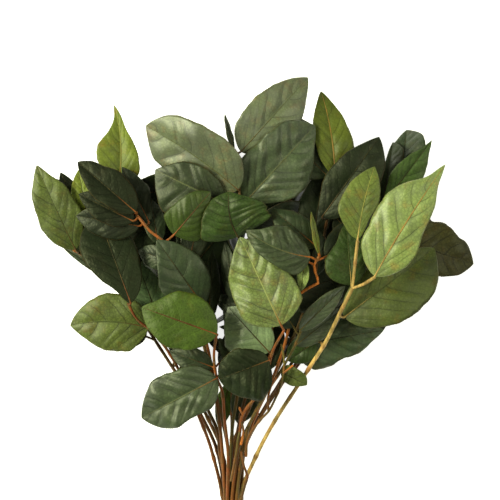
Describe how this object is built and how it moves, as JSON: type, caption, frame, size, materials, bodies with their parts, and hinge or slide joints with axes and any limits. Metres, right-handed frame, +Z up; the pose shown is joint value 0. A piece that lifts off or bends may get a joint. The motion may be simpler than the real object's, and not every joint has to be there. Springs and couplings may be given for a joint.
{
  "type": "bundle of preserved salal",
  "caption": "Bundle of preserved salal sprigs with broad ovate leaves, laid flat, the bare reddish stems held together by a band near their cut ends.",
  "frame": {"origin": "under the middle of the tie band, on the surface that the bundle lies on", "axes": "+Y along the stems from the cut ends to the foliage, +Z up, away from the surface, +X to the right seen from above with the foliage at the top"},
  "size_m": [0.3757, 0.4737, 0.1355],
  "materials": {
    "salal_leaf": "leathery preserved leaf, dark to yellow green, soft sheen, sunken net of veins",
    "salal_stem": "thin reddish brown to straw coloured bark, satin",
    "band_rubber": "matt tan rubber"
  },
  "bodies": {
    "root": {"sprig_front_left": "salal_leaf", "sprig_front_middle": "salal_leaf", "sprig_right_low": "salal_leaf", "sprig_left_high": "salal_leaf", "sprig_crown": "salal_leaf", "sprig_front_right": "salal_leaf", "sprig_golden": "salal_leaf", "sprig_left_low": "salal_leaf", "sprig_far_left": "salal_leaf", "sprig_middle": "salal_leaf", "sprig_right_high": "salal_leaf", "sprig_right_upper": "salal_leaf", "sprig_far_right": "salal_leaf", "sprig_back_left": "salal_leaf", "sprig_back_middle": "salal_leaf", "sprig_back_right": "salal_leaf", "sprig_under_left": "salal_leaf", "sprig_under_middle": "salal_leaf", "sprig_under_right": "salal_leaf", "tie_band": "band_rubber"}
  },
  "joints": []
}
